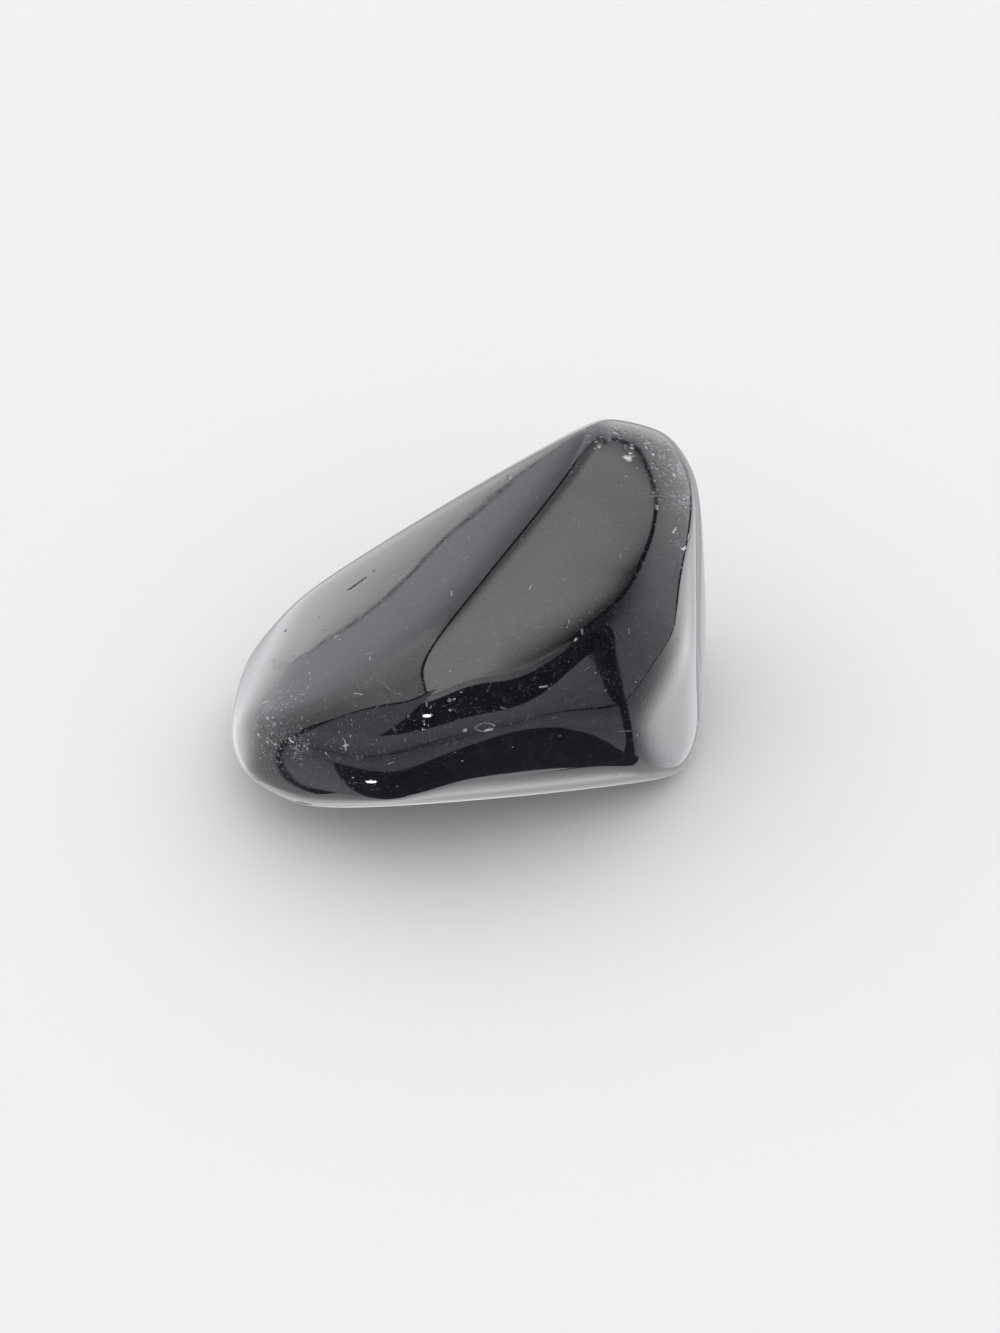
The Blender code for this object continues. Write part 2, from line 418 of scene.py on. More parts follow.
def knocks():
    """The close small marks of the worn places."""
    marks = []
    for x, y, reach, extra in WORN_PLACES:
        centre = seen_at([(x, y)])[0]
        count = round(KNOCKS_PER_MM2 * math.pi * reach**2 * extra**2)
        spread = random.normal(size=(count, 3)) * reach * KNOCK_SPREAD
        for spot in surface_points(unit(centre + spread)):
            marks.append(small_mark(spot, random.uniform(*KNOCK_WIDTHS), random.uniform(*KNOCK_WHITES)))
    return marks


MARKS = seen_marks() + scattered_marks() + knocks()

# -------------------- The stone's mesh
# Each pass halves the triangles this many mm round the marks, and where the facets' mean way out
# falls short of 1 by this much
REFINING = ((0.5, 0.003), (0.20, 0.05), (0.09, 1.0))
FOOT_EDGE = 0.02  # mm over the ground up to which the surface counts as the resting patch


def vert_directions(bm):
    return unit(np.array([vert.co[:] for vert in bm.verts]))


def tree_of(points):
    tree = KDTree(len(points))
    for index, point in enumerate(points):
        tree.insert(point, index)
    tree.balance()
    return tree


def points_near(tree, path, reach):
    return sorted({found[1] for spot in path for found in tree.find_range(spot, reach)})


def refine(bm, margin, curved):
    """Halves the triangles near the marks and where the stone curves."""
    points = surface_points(vert_directions(bm))
    tree = tree_of(points)
    near = 1.0 - np.linalg.norm(stone_at(points)[1], axis=1) > curved
    for path, half_width, _, _ in MARKS:
        near[points_near(tree, path, half_width + margin)] = True
    bm.verts.index_update()
    edges = [edge for edge in bm.edges if near[edge.verts[0].index] or near[edge.verts[1].index]]
    bmesh.ops.subdivide_edges(bm, edges=edges, cuts=1, use_grid_fill=True)
    bmesh.ops.triangulate(bm, faces=[face for face in bm.faces if len(face.verts) > 3])


def beside_path(points, path):
    """How far each point is from the path, and how far along it the nearest place is, from 0 to 1."""
    if len(path) == 1:
        return np.linalg.norm(points - path[0], axis=1), np.full(len(points), 0.5)
    nearest = np.full(len(points), np.inf)
    place = np.zeros(len(points))
    for index, (start, end) in enumerate(zip(path, path[1:])):
        run = end - start
        share = np.clip((points - start) @ run / (run @ run), 0.0, 1.0)
        distance = np.linalg.norm(points - start - share[:, None] * run, axis=1)
        place = np.where(distance < nearest, (index + share) / (len(path) - 1), place)
        nearest = np.minimum(nearest, distance)
    return nearest, place


def ends_taper(path, place):
    """How wide a mark is at each place along it, from 0 to 1. A long mark narrows at its ends."""
    if len(path) == 1:
        return 1.0
    return np.sqrt(np.clip(1.0 - (2.0 * place - 1.0) ** 4, 0.02, 1.0))


def cut_marks(points):
    """How deep the marks are at each point, and how white the crushed glass is."""
    depth = np.zeros(len(points))
    white = np.zeros(len(points))
    tree = tree_of(points)
    ragged = random.uniform(*RAGGED_EDGE, len(points))
    crushed = random.uniform(-CRUSHED_ROUGHNESS, CRUSHED_ROUGHNESS, len(points))
    for path, half_width, most, whiteness in MARKS:
        near = points_near(tree, path, half_width * RAGGED_REACH)
        if not near:
            continue
        distance, place = beside_path(points[near], path)
        inside = 1.0 - (distance / (half_width * ends_taper(path, place)) * ragged[near]) ** 2
        inside = np.clip(inside, 0.0, 1.0)
        rough = 1.0 + crushed[near] * (whiteness > 0)
        depth[near] = np.maximum(depth[near], inside * rough * most)
        white[near] = np.maximum(white[near], np.minimum(1.0, inside * WHITE_SPREAD) * whiteness)
    return depth, white


def store(mesh, name, values):
    attribute = mesh.attributes.new(name, "FLOAT", "POINT")
    attribute.data.foreach_set("value", np.asarray(values, np.float32))


def given_normals(bm, points, outward, depth):
    """The facets' own way out. It is zero, and left to Blender, in the marks and under the stone."""
    left_out = depth > 0.0
    for edge in bm.edges:
        a, b = edge.verts[0].index, edge.verts[1].index
        left_out[a] |= depth[b] > 0.0
        left_out[b] |= depth[a] > 0.0
    left_out |= points[:, 2] <= FOOT_EDGE
    return np.where(left_out[:, None], 0.0, outward)


def stone_mesh():
    """The polished stone with its marks cut in, and what its material reads at each point."""
    bm = sphere(SPHERE_SUBDIVISIONS)
    for margin, curved in REFINING:
        refine(bm, margin, curved)
    bm.verts.index_update()
    points = surface_points(vert_directions(bm))
    outward = unit(stone_at(points)[1])
    depth, white = cut_marks(points)
    wear = wear_at(points)
    clean = near_places(points, CLEAN_PLACES)
    points = points - outward * (POLISH_LOSS + depth)[:, None] + HEART
    normals = given_normals(bm, points, outward, depth)
    points[:, 2] = np.maximum(points[:, 2], 0.0)
    for vert, point in zip(bm.verts, points * METRES_PER_MM):
        vert.co = point
    for face in bm.faces:
        face.smooth = True
    mesh = bpy.data.meshes.new("polished_stone")
    bm.to_mesh(mesh)
    bm.free()
    mesh.normals_split_custom_set_from_vertices(normals.tolist())
    store(mesh, "white", white)
    store(mesh, "wear", wear)
    store(mesh, "clean", clean)
    return mesh


# -------------------- The glass
GLASS_BLACK = (0.0035, 0.0035, 0.004, 1.0)
SMOKY_BROWN = (0.0052, 0.0045, 0.0042, 1.0)
CRUSHED_WHITE = (0.80, 0.81, 0.83, 1.0)
HAZE_BLUE = (0.020, 0.021, 0.026, 1.0)
GLASS_IOR = 1.5


def node(tree, kind, **sockets):
    """A shader node with its inputs set or linked, which are named with _ for a space."""
    made = tree.nodes.new(kind)
    for name, value in sockets.items():
        feed(tree, made.inputs[name.replace("_", " ")], value)
    return made


def feed(tree, socket, value):
    if isinstance(value, bpy.types.NodeSocket):
        tree.links.new(value, socket)
    else:
        socket.default_value = value


def maths(tree, operation, *values, clamp=False):
    """A math node's result."""
    made = tree.nodes.new("ShaderNodeMath")
    made.operation = operation
    made.use_clamp = clamp
    for socket, value in zip(made.inputs, values):
        feed(tree, socket, value)
    return made.outputs[0]


def vector_maths(tree, operation, *values):
    """A vector math node's result: its number where the operation gives one, or else its vector."""
    made = tree.nodes.new("ShaderNodeVectorMath")
    made.operation = operation
    for socket, value in zip(made.inputs, values):
        feed(tree, socket, value)
    return made.outputs["Value" if operation in ("DOT_PRODUCT", "LENGTH") else "Vector"]


def remap(tree, value, low, high, new_low=0.0, new_high=1.0):
    made = node(tree, "ShaderNodeMapRange", Value=value, From_Min=low, From_Max=high,
                To_Min=new_low, To_Max=new_high)
    return made.outputs["Result"]


def noise(tree, place, cells_per_mm, detail):
    return node(tree, "ShaderNodeTexNoise", Vector=place, Scale=cells_per_mm, Detail=detail).outputs["Fac"]


def blend_colours(tree, factor, first, second):
    made = tree.nodes.new("ShaderNodeMix")
    made.data_type = "RGBA"
    feed(tree, made.inputs["Factor"], factor)
    feed(tree, made.inputs["A"], first)
    feed(tree, made.inputs["B"], second)
    return made.outputs["Result"]


def specks(tree, place, cells_per_mm, radius, share):
    """Round specks, at most one in each cell of the pattern, in a share of the cells."""
    cells = node(tree, "ShaderNodeTexVoronoi", Vector=place, Scale=cells_per_mm)
    pick = node(tree, "ShaderNodeSeparateColor", Color=cells.outputs["Color"])
    size = remap(tree, pick.outputs["Green"], 0.0, 1.0, radius * 0.4 * cells_per_mm, radius * cells_per_mm)
    inside = maths(tree, "SUBTRACT", 1.0, maths(tree, "DIVIDE", cells.outputs["Distance"], size))
    chosen = maths(tree, "LESS_THAN", pick.outputs["Red"], share)
    strength = maths(tree, "MULTIPLY", remap(tree, inside, 0.0, 0.5), chosen)
    return maths(tree, "MULTIPLY", strength, remap(tree, pick.outputs["Blue"], 0.0, 1.0, 0.35, 1.0))


def crescents(tree, place, cells_per_mm, radius, width, share):
    """Parts of rings, the bruises that knocks leave in glass, in a share of the cells."""
    cells = node(tree, "ShaderNodeTexVoronoi", Vector=place, Scale=cells_per_mm)
    pick = node(tree, "ShaderNodeSeparateColor", Color=cells.outputs["Color"])
    arm = vector_maths(tree, "SUBTRACT", place, cells.outputs["Position"])
    length = vector_maths(tree, "LENGTH", arm)
    ring = remap(tree, pick.outputs["Green"], 0.0, 1.0, radius * 0.5, radius)
    off_ring = maths(tree, "ABSOLUTE", maths(tree, "SUBTRACT", length, ring))
    on_ring = maths(tree, "SUBTRACT", 1.0, maths(tree, "DIVIDE", off_ring, width), clamp=True)
    side = vector_maths(tree, "SUBTRACT", cells.outputs["Color"], (0.5, 0.5, 0.5))
    ways = [vector_maths(tree, "NORMALIZE", way) for way in (arm, side)]
    part = remap(tree, vector_maths(tree, "DOT_PRODUCT", *ways), 0.35, 0.6)
    chosen = maths(tree, "LESS_THAN", pick.outputs["Blue"], share)
    return maths(tree, "MULTIPLY", maths(tree, "MULTIPLY", on_ring, part), chosen)


def hairlines(tree, place, cells_per_mm, half_width, patches_per_mm, rarest):
    """Fine straight scuffs: the cells' walls, left only in small patches, which rarest makes few."""
    walls = node(tree, "ShaderNodeTexVoronoi", Vector=place, Scale=cells_per_mm)
    walls.feature = "DISTANCE_TO_EDGE"
    line = remap(tree, walls.outputs["Distance"], half_width * cells_per_mm, 0.0)
    above = maths(tree, "SUBTRACT", noise(tree, place, patches_per_mm, 1.0), rarest)
    return maths(tree, "MULTIPLY", line, remap(tree, above, 0.0, 0.06))


def attribute(tree, name):
    made = tree.nodes.new("ShaderNodeAttribute")
    made.attribute_name = name
    return made.outputs["Fac"]


def most_of(tree, first, *others):
    for other in others:
        first = maths(tree, "MAXIMUM", first, other)
    return first


def grazes(tree, place, wear):
    """The specks, bruises and scuffs too fine for the mesh: few and faint on flats, thick on corners."""
    wear = maths(tree, "MULTIPLY", wear, wear)
    fine = specks(tree, place, 2.2, 0.06, remap(tree, wear, 0.0, 1.0, 0.12, 0.5))
    dust = specks(tree, place, 4.5, 0.03, remap(tree, wear, 0.0, 1.0, 0.12, 0.6))
    bruises = crescents(tree, place, 2.0, 0.20, 0.016, remap(tree, wear, 0.15, 1.0, 0.0, 0.35))
    small = crescents(tree, place, 3.6, 0.10, 0.016, remap(tree, wear, 0.1, 1.0, 0.05, 0.6))
    long = hairlines(tree, place, 1.1, 0.014, 3.0, remap(tree, wear, 0.0, 1.0, 0.58, 0.54))
    short = hairlines(tree, place, 3.6, 0.014, 6.0, remap(tree, wear, 0.0, 1.0, 0.60, 0.46))
    all_marks = most_of(tree, fine, dust, bruises, small, long, short)
    uneven = remap(tree, noise(tree, place, 1.3, 2.0), 0.35, 0.65, 0.3, 1.0)
    uneven = maths(tree, "MULTIPLY", uneven, remap(tree, attribute(tree, "clean"), 0.0, 0.6, 1.0, 0.25))
    strength = remap(tree, wear, 0.0, 1.0, 0.13, 0.65)
    return maths(tree, "MULTIPLY", maths(tree, "MULTIPLY", all_marks, uneven), strength)


def glass_body(tree, place, wear):
    """Black glass with wide smoky clouds, and a faint blue haze in patches and where it is worn."""
    smoke = remap(tree, noise(tree, place, 0.16, 2.0), 0.45, 0.7)
    glass = blend_colours(tree, smoke, GLASS_BLACK, SMOKY_BROWN)
    patches = remap(tree, noise(tree, place, 1.6, 5.0), 0.45, 0.7, 0.0, 0.3)
    haze = maths(tree, "ADD", maths(tree, "MULTIPLY", wear, wear), patches)
    return blend_colours(tree, haze, glass, HAZE_BLUE)


def crushed_glass(tree, place):
    """How white the crushed glass in the mesh's marks is."""
    grainy = remap(tree, noise(tree, place, 9.0, 3.0), 0.34, 0.56, 0.6, 1.0)
    return maths(tree, "MULTIPLY", maths(tree, "POWER", attribute(tree, "white"), 1.5), grainy)


def polish(tree, place, wear, marked):
    """The roughness: a cloudy high polish, duller where it is worn and half matt in marks."""
    roughness = remap(tree, noise(tree, place, 0.9, 4.0), 0.3, 0.7, 0.02, 0.045)
    roughness = maths(tree, "ADD", roughness, maths(tree, "MULTIPLY", wear, 0.05))
    return maths(tree, "ADD", roughness, maths(tree, "MULTIPLY", marked, 0.45))


def relief(tree, place, grazed):
    """The normal: a slow swell and a fine ripple of the polish, and the hollows of the grazes."""
    ripple = maths(tree, "MULTIPLY", noise(tree, place, 7.0, 3.0), 0.04)
    swell = maths(tree, "MULTIPLY", noise(tree, place, 0.35, 1.0), 1.2)
    height = maths(tree, "ADD", ripple, swell)
    height = maths(tree, "SUBTRACT", height, maths(tree, "MULTIPLY", grazed, 0.5))
    return node(tree, "ShaderNodeBump", Height=height, Strength=0.25, Distance=0.00002).outputs["Normal"]


def obsidian():
    """Black volcanic glass, tumbled to a high polish. Its patterns are laid out in millimetres."""
    material = bpy.data.materials.new("obsidian")
    material.use_nodes = True
    tree = material.node_tree
    shader = tree.nodes["Principled BSDF"]
    metres = node(tree, "ShaderNodeTexCoord").outputs["Object"]
    place = vector_maths(tree, "MULTIPLY", metres, (1.0 / METRES_PER_MM,) * 3)
    wear = attribute(tree, "wear")
    grazed = grazes(tree, place, wear)
    marked = maths(tree, "MAXIMUM", grazed, crushed_glass(tree, place), clamp=True)
    colour = blend_colours(tree, marked, glass_body(tree, place, wear), CRUSHED_WHITE)
    feed(tree, shader.inputs["Base Color"], colour)
    feed(tree, shader.inputs["Roughness"], polish(tree, place, wear, marked))
    feed(tree, shader.inputs["Normal"], relief(tree, place, grazed))
    shader.inputs["IOR"].default_value = GLASS_IOR
    return material


stone = add_object("polished_stone", stone_mesh())
stone.data.materials.append(obsidian())
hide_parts(STONE_NODE)
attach(stone, "root")

# -------------------- The light tent, in millimetres
# Measured from the ground point at the picture's centre. Only the stone's polish sees the tent, and
# it stands twice, once upside down, as a glossy table top would show it. How strongly its cloth glows
# is a rule of the place on it. The tent's size comes from the fit that gave the facets. Most places of
# its seams and edges, and the glows to start with, come from scratch programs that followed what the
# photograph shows off the stone and on to the cloth. They were rounded, and then adjusted.
TENT_LEFT, TENT_RIGHT = -235.0, 325.0
TENT_FRONT, TENT_TOP = -124.0, 440.0
BACK_LEFT, BACK_MIDDLE, BACK_RIGHT = 850.0, 516.0, 525.0  # y of the back wall, which bends away on the left
BACK_CORNERS = ((TENT_LEFT, 150.0, TENT_RIGHT), (BACK_LEFT, BACK_MIDDLE, BACK_RIGHT))  # x, and y there
# y, and the gap that is open there: along the ceiling's left and right edge, and under the right wall
LEFT_FOLD = ((0.0, 104.0, 307.0, 403.0, BACK_LEFT), (5.0, 8.0, 19.0, 24.0, 44.0))
RIGHT_FOLD = ((85.0, 203.0, 303.0, 388.0, 435.0, 470.0), (40.0, 36.0, 24.0, 12.0, 6.0, 4.0))
TABLE_GAP = ((5.0, 79.0, 133.0, 182.0, 283.0, 310.0, 350.0), (1.0, 2.0, 6.0, 15.0, 34.0, 34.0, 0.0))
LEFT_DROP, RIGHT_DROP = 1.8, 1.2  # a wall's top hangs this many such gaps below the ceiling
CEILING_GAP = 13.0  # at its back edge
# A low sheet at the back of the left wall, with a round near end
LIP_START, LIP_ROUND, LIP_HEIGHT, LIP_SEAM = 418.0, 60.0, 35.0, 1.8
CARD_LEFT, CARD_RIGHT, CARD_TOP = -226.0, 309.0, 84.0
VALANCE_LOW, VALANCE_SEAM = 278.0, 352.0
LAMP_GLOW = 60.0
SHEET_STEPS = 36
DIM, BRIGHT = 0.8, 3.2  # glows at which the cloth has its shade's tint and its own
TENT_WHITE = (1.0, 0.98, 1.02)
CEILING_TINT = (1.0, 0.955, 1.02)
LEFT_SHADE = (0.98, 0.93, 1.03)
SHADE_WHITE = (0.94, 0.97, 1.08)
FRONT_WHITE = (0.92, 0.97, 1.12)
ROOM_BLUE = (0.80, 0.97, 1.35)


def glow_material(name, tint, shade_tint=None):
    """Cloth lit from outside. The mesh says how strongly it glows, and in shade it may have another tint."""
    material = bpy.data.materials.new(name)
    material.use_nodes = True
    tree = material.node_tree
    tree.nodes.clear()
    strength = attribute(tree, "glow")
    lit = remap(tree, strength, DIM, BRIGHT)
    colour = blend_colours(tree, lit, (*(shade_tint or tint), 1.0), (*tint, 1.0))
    glow = node(tree, "ShaderNodeEmission", Color=colour, Strength=strength)
    node(tree, "ShaderNodeOutputMaterial", Surface=glow.outputs["Emission"])
    material.cycles.emission_sampling = "NONE"
    return material


TENT_CLOTH = glow_material("tent_cloth", TENT_WHITE, SHADE_WHITE)
PLAIN_CLOTH = glow_material("plain_cloth", TENT_WHITE)
CEILING_CLOTH = glow_material("ceiling_cloth", CEILING_TINT)
LEFT_CLOTH = glow_material("left_cloth", TENT_WHITE, LEFT_SHADE)
FRONT_CLOTH = glow_material("front_cloth", FRONT_WHITE)
DARK_ROOM = glow_material("dark_room", ROOM_BLUE)


def smooth(value, low, high):
    """0 below low and 1 above high, with a soft step between."""
    share = np.clip((value - low) / (high - low), 0.0, 1.0)
    return share * share * (3.0 - 2.0 * share)


def between(first, last, share):
    return first * (1.0 - share) + last * share


def sheet_shares():
    """The shares along and up a sheet of each of its points, row by row."""
    shares = np.linspace(0.0, 1.0, SHEET_STEPS + 1)
    along, up = np.meshgrid(shares, shares)
    return along.ravel(), up.ravel()


def sheet(name, x, y, z, glow, cloth):
    """A sheet of cloth that reflections alone see."""
    x, y, z = np.broadcast_arrays(x, y, z)
    row = SHEET_STEPS + 1
    starts = [start + step for start in range(0, row * SHEET_STEPS, row) for step in range(SHEET_STEPS)]
    places = (np.stack([x, y, z], axis=1) + CAMERA_AIM) * METRES_PER_MM
    mesh = bpy.data.meshes.new(name)
    mesh.from_pydata(places.tolist(), [], [(c, c + 1, c + row + 1, c + row) for c in starts])
    mesh.materials.append(cloth)
    store(mesh, "glow", glow(x, y, z) * np.ones(len(x)))
    made = add_object(name, mesh)
    for ray in ("camera", "diffuse", "transmission", "volume_scatter", "shadow"):
        setattr(made, "visible_" + ray, False)


def even(value):
    """The rule that gives the same value everywhere."""
    return lambda *place: value


def side_sheet(name, x, near, far, low, high, glow, cloth=PLAIN_CLOTH):
    """A side wall. Its ends are rules of the height's share, and its low and high edge are rules of y."""
    along, up = sheet_shares()
    along = along**2  # finest at the near end
    y = between(near(up), far(up), along)
    sheet(name, x, y, between(low(y), high(y), up), glow, cloth)


def front_sheet(name, corners, glow, cloth=FRONT_CLOTH, y=TENT_FRONT):
    """A flat upright sheet: x and z of its low left, low right, high right and high left corner."""
    along, up = sheet_shares()
    low_left, low_right, high_right, high_left = (np.array(corner)[:, None] for corner in corners)
    x, z = between(between(low_left, low_right, along), between(high_left, high_right, along), up)
    sheet(name, x, y, z, glow, cloth)


def ceiling(name, height, left_fold, right_fold, back_gap, glow, front=even(TENT_FRONT)):
    """A ceiling, whose near edge is a rule of x."""
    along, up = sheet_shares()
    x = between(TENT_LEFT, TENT_RIGHT, along)
    y = between(front(x), np.interp(x, *BACK_CORNERS) - back_gap, up)
    left = TENT_LEFT + np.interp(y, *LEFT_FOLD) * left_fold
    right = TENT_RIGHT - np.interp(y, *RIGHT_FOLD) * right_fold
    cloth = CEILING_CLOTH if height > 0.0 else PLAIN_CLOTH
    sheet(name, between(left, right, along), y, height, glow, cloth)


def back_wall(name, low, high, glow):
    along, up = sheet_shares()
    x = between(TENT_LEFT, TENT_RIGHT, along)
    cloth = TENT_CLOTH if high > 0.0 else PLAIN_CLOTH
    sheet(name, x, np.interp(x, *BACK_CORNERS), between(low, high, up), glow, cloth)


def ceiling_glow(x, y, z):
    """Brightest over the front, with soft shade along the right side and towards the far left corner."""
    far = 0.9 + 0.5 * smooth(x, -50.0, 150.0)
    line = 350.0 + 0.9 * (x + 100.0)
    lit = 3.7 - (3.7 - far) * smooth(y, line - 270.0, line + 170.0)
    lit = np.minimum(lit, np.interp(y, (100.0, 200.0, 350.0, 520.0, 650.0), (3.7, 3.3, 2.65, 2.5, 1.9)))
    edge = np.interp(y, (200.0, 250.0, 350.0, 460.0), (160.0, 210.0, 290.0, 360.0))
    lit = lit * (1.0 - 0.86 * smooth(x, edge - 90.0, edge + 110.0))
    return lit * (0.5 + 0.5 * smooth(np.interp(x, *BACK_CORNERS) - y, 5.0, 60.0))


def left_glow(x, y, z):
    """Brighter near the front, and dimmer behind a slanting line."""
    near = np.interp(z, (0.0, 100.0, 150.0, 250.0, 370.0), (1.6, 1.75, 1.9, 2.5, 2.35))
    near = near * (0.8 + 0.2 * smooth(y, -80.0, 40.0))
    far = np.interp(z, (45.0, 80.0, 150.0, 250.0, 370.0), (1.4, 1.15, 1.02, 1.15, 1.25))
    far = far * (1.0 - 0.2 * smooth(y, 450.0, 650.0) + 0.6 * smooth(y, 700.0, 780.0))
    near = near * (1.0 + 0.25 * (1.0 - smooth(z, 0.0, 30.0)) * smooth(y, 150.0, 300.0))
    far = far * (1.0 + 0.25 * (1.0 - smooth(z, 0.0, 30.0)))
    behind = smooth(y + 0.35 * (z - 150.0), 250.0, 450.0)
    return between(near, far, behind)


def right_glow(x, y, z):
    """Brightest at the back, with a slanting shade over the near upper part."""
    lit = np.interp(y, (TENT_FRONT, -40.0, 40.0, 120.0, 280.0, 360.0), (1.1, 1.4, 1.62, 1.95, 2.75, 3.1))
    lit = lit * (1.0 - 0.2 * (1.0 - smooth(z, 0.0, 80.0)) * smooth(y, 40.0, 120.0))
    lit = lit * (1.0 - 0.3 * (1.0 - smooth(z, 20.0, 80.0)) * smooth(y, 300.0, 400.0))
    shade = np.interp(y, (TENT_FRONT, -40.0, 40.0), (0.9, 0.75, 0.6))
    line = 200.0 + 0.45 * y
    return lit * (1.0 - shade * smooth(z, line - 130.0, line + 200.0))


def card_glow(x, y, z):
    """Dimmer towards the table, with the dark streak of what stands before the tent."""
    right, up = (x - CARD_LEFT) / (CARD_RIGHT - CARD_LEFT), z / (CARD_TOP + 20.0)
    streak = np.exp(-(((right - 0.36) / 0.13) ** 2) - ((up - 0.12 - 0.9 * (right - 0.36)) / 0.08) ** 2)
    return np.interp(up, (0.0, 0.25, 0.5, 0.75), (0.75, 0.95, 1.1, 1.22)) * (1 - 0.6 * streak)


def front_card():
    """The low card in front, whose right edge slants in above a fold."""
    along, up = sheet_shares()
    z = 0.5 + between(3.5 * along, CARD_TOP + 28.0 * along, up)
    right = CARD_RIGHT + np.interp(z, (0.0, 33.0, 96.0, 112.0), (0.0, 3.0, -30.0, -38.0))
    sheet("front_card", between(CARD_LEFT, right, along), TENT_FRONT, z, card_glow, FRONT_CLOTH)


def valance_glow(x, y, z):
    return np.interp(x, (-170.0, 60.0, 160.0, 245.0), (2.5, 2.2, 1.4, 0.7))


def valance_top_glow(x, y, z):
    return np.interp(x, (-180.0, 60.0, 160.0, 300.0), (3.7, 3.4, 2.0, 0.8))


def lip_height(y):
    """The low sheet's edge, which curves down to the table at its near end."""
    turn = 1.0 - np.clip((y - LIP_START) / LIP_ROUND, 0.0, 1.0)
    return LIP_HEIGHT * np.sqrt(1.0 - turn**2)


def lip_glow(x, y, z):
    lit = np.interp(z, (0.0, 12.0, 25.0, LIP_HEIGHT), (2.6, 2.45, 2.0, 1.6))
    return lit * (1.0 - 0.35 * smooth(y, 600.0, 700.0))


def back_glow(x, y, z):
    lit = np.interp(z, (0.0, 50.0, 150.0, 300.0, 380.0, 440.0), (2.4, 3.0, 4.2, 4.4, 3.1, 1.9))
    return lit * (0.42 + 0.58 * smooth(x, -200.0, 180.0))


def left_wall_start(up):
    """The wall's near end, which reaches further forward up high."""
    return -108.0 - 18.0 * smooth(up * TENT_TOP, 110.0, 160.0)


def left_wall_top(y):
    return TENT_TOP - LEFT_DROP * np.interp(y, *LEFT_FOLD)


def right_wall_foot(y):
    return np.interp(y, *TABLE_GAP)


def right_wall_top(y):
    return TENT_TOP - RIGHT_DROP * np.interp(y, *RIGHT_FOLD)


def walls():
    side_sheet("left_wall", TENT_LEFT, left_wall_start, even(LIP_START), even(0.0), left_wall_top,
               left_glow, LEFT_CLOTH)
    side_sheet("left_wall_back", TENT_LEFT, even(LIP_START), even(BACK_LEFT),
               lambda y: lip_height(y) + LIP_SEAM, left_wall_top, left_glow, LEFT_CLOTH)
    side_sheet("lip", TENT_LEFT, even(LIP_START), even(BACK_LEFT), even(0.0), lip_height, lip_glow)
    side_sheet("right_wall", TENT_RIGHT, even(-118.0), even(BACK_RIGHT), right_wall_foot, right_wall_top,
               right_glow, TENT_CLOTH)
    back_wall("back_wall", 0.0, TENT_TOP - 6.0, back_glow)


def front_opening():
    """What hangs and stands round the opening in front, and the dark room at its corners."""
    front_card()
    top = TENT_TOP - 4.0
    flap = [(CARD_LEFT, CARD_TOP), (-146.0, CARD_TOP + 4.0), (-190.0, top), (-209.0, top)]
    front_sheet("front_flap", flap, even(1.1))
    for side, (left, right) in {"left": (-300.0, -190.0), "right": (262.0, 450.0)}.items():
        front_sheet("dark_corner_" + side, [(left, 0.5), (right, 0.5), (right, 300.0), (left, 300.0)],
                    even(0.09), DARK_ROOM, TENT_FRONT - 4.0)
    front_sheet("valance", [(-170.0, VALANCE_LOW), (245.0, VALANCE_LOW + 6.0), (290.0, VALANCE_SEAM),
                            (-178.0, VALANCE_SEAM)], valance_glow, TENT_CLOTH)
    front_sheet("valance_top", [(-178.0, VALANCE_SEAM + 6.0), (280.0, VALANCE_SEAM + 1.0),
                                (305.0, TENT_TOP), (-186.0, TENT_TOP)], valance_top_glow, TENT_CLOTH)


def upper_tent():
    ceiling("ceiling", TENT_TOP, 1.0, 1.0, CEILING_GAP, ceiling_glow)
    walls()
    front_opening()


def lower_ceiling_glow(x, y, z):
    left = np.interp(y, (TENT_FRONT, -60.0, -20.0, 100.0, 200.0, 500.0), (1.3, 1.5, 2.6, 2.4, 1.2, 1.0))
    middle = np.interp(y, (TENT_FRONT, -60.0, 0.0, 50.0, 80.0, 150.0, 300.0, 520.0),
                       (2.9, 3.3, 3.5, 2.5, 1.8, 1.2, 0.8, 0.7))
    right = np.interp(y, (TENT_FRONT, 50.0, 150.0, 300.0, BACK_RIGHT), (1.6, 1.5, 1.6, 1.1, 0.9))
    to_right = smooth(x, 110.0, 190.0)
    to_middle = smooth(x, -40.0, 60.0) * (1.0 - to_right)
    return left * (1.0 - to_middle - to_right) + middle * to_middle + right * to_right


def lower_left_glow(x, y, z):
    lit = np.interp(y, (TENT_FRONT, 0.0, 100.0, 300.0, 420.0, 550.0, 620.0, 720.0, BACK_LEFT),
                    (1.1, 1.5, 1.75, 2.1, 2.5, 2.85, 2.4, 1.5, 1.7))
    lit = lit * (1.0 - 0.25 * (1.0 - smooth(-z, 0.0, 50.0)) * (1.0 - smooth(y, 380.0, 440.0)))
    return lit * (1.0 - 0.45 * smooth(-z, 60.0, 320.0) * smooth(y, 300.0, 550.0))


def lower_right_glow(x, y, z):
    """A lamp behind the cloth makes the soft bright place low on the right."""
    lit = np.interp(y, (TENT_FRONT, 0.0, 80.0, 200.0, 280.0, 400.0, BACK_RIGHT),
                    (0.8, 1.3, 1.8, 3.0, 2.8, 2.2, 1.8))
    reach = np.where(y < 80.0, 130.0, 105.0)
    lit = lit + 5.5 * np.exp(-(((y - 80.0) / reach) ** 2) - ((z + 70.0) / 170.0) ** 2)
    lit = lit * (1.0 - 0.35 * (1.0 - smooth(-z, 40.0, 150.0)) * smooth(y, 220.0, 300.0))
    return lit * (0.73 + 0.27 * smooth(-z, 0.0, 100.0))


